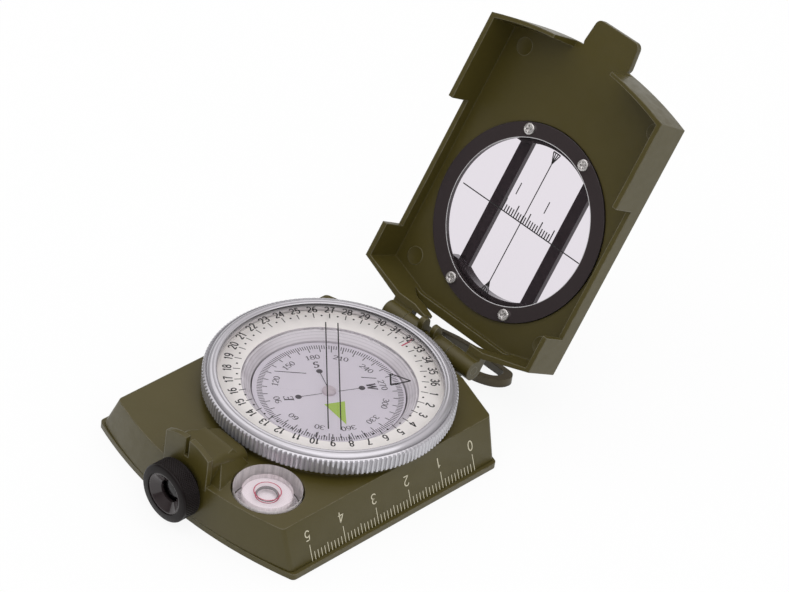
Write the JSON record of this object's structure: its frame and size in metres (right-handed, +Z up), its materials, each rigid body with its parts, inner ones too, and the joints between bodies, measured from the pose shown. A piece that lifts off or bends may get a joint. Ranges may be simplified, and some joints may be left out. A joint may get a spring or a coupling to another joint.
{
  "type": "magnetic compass",
  "caption": "Folding metal sighting compass with a turning dial bezel, window lid, eyepiece, round level and carry loop.",
  "frame": {"origin": "centre of the tripod socket's mouth, on the underside, on the dial's axis", "axes": "+Z up along the dial's axis, +Y towards the hinge and the sighted object, +X towards the ruled edge"},
  "size_m": [0.0638, 0.1311, 0.078],
  "materials": {
    "olive_paint": "satin olive drab paint on die-cast metal",
    "steel": "plain steel",
    "brass": "turned brass",
    "clear_plastic": "clear moulded capsule",
    "glass": "clear polished glass",
    "luminous": "cream luminous ring, matt",
    "card_print": "pale dial card, satin",
    "magnet": "sintered magnet",
    "bezel_metal": "bright turned aluminium, knurled edge",
    "seal_rubber": "black rubber",
    "black_metal": "black enamelled metal",
    "level_white": "white plastic",
    "chrome": "bright plated screws"
  },
  "bodies": {
    "base": {"case": "olive_paint", "base_plate": "olive_paint", "base_screws": "steel", "tripod_bush": "brass", "capsule": "clear_plastic", "capsule_window": "glass", "luminous_ring": "luminous", "index_glass": "glass", "pivot_pin": "steel", "bezel_retainer": "steel", "bezel_spring": "steel", "level_vial": "clear_plastic", "level_plug": "level_white", "eyepiece_sleeve": "black_metal", "loop_pin": "steel"},
    "dial_card": {"card": "card_print", "card_magnet": "magnet", "jewel_cap": "brass"},
    "turning_bezel": {"bezel": "bezel_metal", "crystal": "glass", "crystal_seal": "seal_rubber"},
    "focus_ring": {"eyepiece_ring": "black_metal"},
    "focus_cell": {"lens_cell": "black_metal", "eyepiece_lens": "glass"},
    "lid": {"lid": "olive_paint", "hinge_pin": "steel", "window_glass": "glass", "window_ring": "black_metal", "ring_screws": "chrome", "sight_guard": "black_metal"},
    "loop": {"carry_loop": "olive_paint"}
  },
  "joints": [
    {"name": "lid_hinge", "type": "hinge", "parent": "base", "child": "lid", "pos_m": [0, 0.03258, 0.0114], "axis": [1, 0, 0], "range_deg": [-18, 119.3]},
    {"name": "bezel_turn", "type": "hinge", "parent": "base", "child": "turning_bezel", "pos_m": [0, 0, 0.0145], "axis": [0, 0, 1], "continuous": true},
    {"name": "card_turn", "type": "hinge", "parent": "base", "child": "dial_card", "pos_m": [0, 0, 0.0121], "axis": [0, 0, 1], "continuous": true},
    {"name": "focus_turn", "type": "hinge", "parent": "base", "child": "focus_ring", "pos_m": [0, -0.0436, 0.00745], "axis": [0, -1, 0], "range_deg": [0, 240]},
    {"name": "lens_slide", "type": "slide", "parent": "base", "child": "focus_cell", "axis": [0, 1, 0], "range_m": [0, 0.0012]},
    {"name": "loop_swing", "type": "hinge", "parent": "base", "child": "loop", "pos_m": [0.00115, 0.0334, 0.00155], "axis": [1, 0, 0], "range_deg": [-80, 12]}
  ],
  "couplings": [
    {"joint": "lens_slide", "follows": "focus_turn", "m_per_rad": 0.000286}
  ]
}
